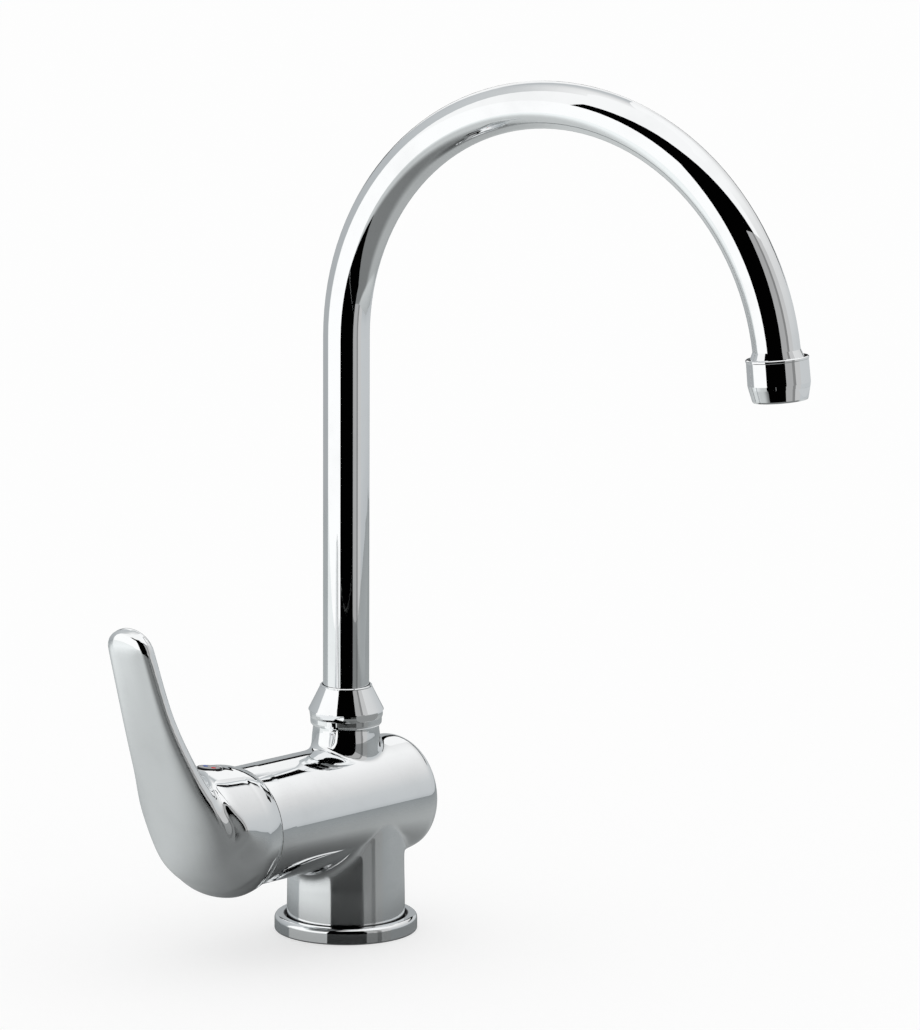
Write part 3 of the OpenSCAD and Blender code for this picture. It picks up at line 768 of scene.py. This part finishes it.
def paleFloor():
    bpy.ops.object.select_all(action="DESELECT")
    bpy.ops.mesh.primitive_plane_add(size=studio["floorSize"])
    floor = bpy.context.object
    floor.name = "studioFloor"
    finish = Finish("studioFloor")
    x, y, z = finish.axes()
    right = x * rightward.x + y * rightward.y
    front = x * towards.x + y * towards.y
    # 0 at the tap's foot, where the contact shadow is painted, 1 away from it
    clearOfFootShadow = finish.smooth(away(finish, x, y), *table["foot"])
    # what the camera and the diffuse light see
    ray = finish.node("ShaderNodeLightPath", {}, {}).socket.node
    glossy = Wire(finish, ray.outputs["Is Glossy Ray"])
    camera = Wire(finish, ray.outputs["Is Camera Ray"])
    matt = finish.node("ShaderNodeBsdfDiffuse", {}, {"Color": grey(studio["paleFloor"])})
    white = finish.node("ShaderNodeEmission", {}, {"Color": grey(1.0)})
    glowing = camera * studio["floorGlow"]
    seen = finish.node("ShaderNodeMixShader", {}, {0: glowing, 1: matt, 2: white})
    # what the gloss sees: a matt table that turns to a polished one at a grazing angle
    colour = finish.blend(tableLevel(finish, right, front, clearOfFootShadow), noLight, table["tint"])
    top = finish.node("ShaderNodeBsdfDiffuse", {}, {"Color": colour})
    sheen = finish.blend(tableGloss(finish, right, clearOfFootShadow), noLight, table["polishTint"])
    polish = finish.node(
        "ShaderNodeBsdfAnisotropic", {}, {"Color": sheen, "Roughness": table["polishRough"]}
    )
    facing = finish.node("ShaderNodeLayerWeight", {}, {"Blend": 0.5}, "Facing")
    grazing = finish.smooth(facing, *table["grazing"])
    shown = finish.node("ShaderNodeMixShader", {}, {0: grazing, 1: top, 2: polish})
    both = finish.node("ShaderNodeMixShader", {}, {0: glossy, 1: seen, 2: shown})
    finish.node("ShaderNodeOutputMaterial", {}, {"Surface": both})
    floor.data.materials.append(finish.material)


def cool(level):
    # the photograph's mid greys lean a little to the cool side, its whites don't
    return studio["cool"] * (1 - eased(level, *studio["coolLevels"]))


def glow(name, levels):
    # one level, or a list of (height, level) pairs from the floor up
    finish = Finish(name)
    if isinstance(levels, list):
        x, y, z = finish.axes()
        top = levels[-1][0]
        stops = [(height / top, grey(level, cool(level))) for height, level in levels]
        colour = finish.node("ShaderNodeValToRGB", {"stops": stops}, {"Fac": z / top})
        light = finish.node("ShaderNodeEmission", {}, {"Color": colour})
    else:
        light = finish.node("ShaderNodeEmission", {}, {"Color": grey(1.0), "Strength": levels})
    finish.node("ShaderNodeOutputMaterial", {}, {"Surface": light})
    return finish.material


def card(name, levels, line, low, high):
    # stands on the line of (right, front) places, from one height to the other
    feet = [rightward * r + towards * f for r, f in line]
    mesh = bpy.data.meshes.new(name)
    bottom = [tuple(p + Vector((0, 0, low))) for p in feet]
    top = [tuple(p + Vector((0, 0, high))) for p in feet]
    n = len(feet)
    mesh.from_pydata(bottom + top, [], [(i, i + 1, n + i + 1, n + i) for i in range(n - 1)])
    finishCard(name, mesh, levels)


def flatCard(name, levels, corners, height):
    mesh = bpy.data.meshes.new(name)
    places = [tuple(rightward * r + towards * f + Vector((0, 0, height))) for r, f in corners]
    mesh.from_pydata(places, [], [tuple(range(len(places)))])
    finishCard(name, mesh, levels)


def finishCard(name, mesh, levels):
    board = bpy.data.objects.new(name, mesh)
    bpy.context.scene.collection.objects.link(board)
    mesh.materials.append(glow(name, levels))
    board.visible_camera = False
    board.visible_diffuse = False
    board.visible_transmission = False
    board.visible_shadow = False


def room():
    world = bpy.data.worlds.new("studioRoom")
    bpy.context.scene.world = world
    world.use_nodes = True
    finish = Finish("studioRoom", world.node_tree)
    ray = finish.node("ShaderNodeLightPath", {}, {}).socket.node
    glossy = Wire(finish, ray.outputs["Is Glossy Ray"])
    strength = 1.0 * (1 - glossy) + studio["tent"] * glossy
    light = finish.node("ShaderNodeBackground", {}, {"Color": grey(1.0), "Strength": strength})
    finish.node("ShaderNodeOutputWorld", {}, {"Surface": light})


# Walls that brighten with height: (height, level) pairs
backLevels = [
    (0, 0.4),
    (0.3, 0.4),
    (0.41, 0.96),
    (0.78, 0.96),
    (0.95, 0.5),
    (1.2, 0.58),
    (1.5, 0.7),
    (1.9, 0.82),
    (2.7, 0.92),
]
leftLevels = [(0, 0.4), (0.25, 0.46), (0.6, 0.52), (1.2, 0.62), (1.9, 0.8), (2.7, 0.9)]
rightLevels = [
    (0, 0.5),
    (0.05, 0.56),
    (0.25, 0.6),
    (0.46, 0.7),
    (0.7, 0.8),
    (0.9, 0.9),
    (1.1, 0.97),
    (2.0, 1.0),
]
# Upright cards: name, level, line of (right, front) places, lowest and highest edge
uprights = [
    ("darkFront", studio["black"], [(-1.1, 0.62), (1.8, 0.62)], 0, 1.27),
    ("whiteLeft", 1.03, [(-0.9, -0.16), (-0.29, 0.53)], 0, 0.55),
    ("greyRight", 0.4, [(0.34, 0.5), (0.47, 0.36)], 0, 0.66),
    ("greyRightEdge", 0.24, [(0.47, 0.36), (0.52, 0.3)], 0, 0.66),
    ("paleRight", 0.56, [(0.52, 0.3), (0.66, 0.15)], 0, 0.66),
    ("rightWall", rightLevels, [(0.66, 0.15), (0.8, -0.2), (0.6, -0.7), (0.3, -0.83)], 0, 2.0),
    ("backWall", backLevels, [(0.3, -0.83), (-0.3, -0.83)], 0, 2.7),
    ("backLeft", leftLevels, [(-0.3, -0.83), (-0.6, -0.62), (-0.87, -0.2)], 0, 2.7),
    ("darkBack", studio["black"], [(0.62, -0.55), (0.29, -0.82), (-0.3, -0.79)], 0.3, 0.4),
]
darkFloor = {
    "corners": [(-0.17, 0.38), (0.26, 0.38), (0.42, 0.61), (-0.32, 0.61)],
    "height": 0.0005,
}


def cards():
    for upright in uprights:
        card(*upright)
    flatCard("darkFloor", studio["black"], darkFloor["corners"], darkFloor["height"])


paleFloor()
room()
cards()
print("studio built")
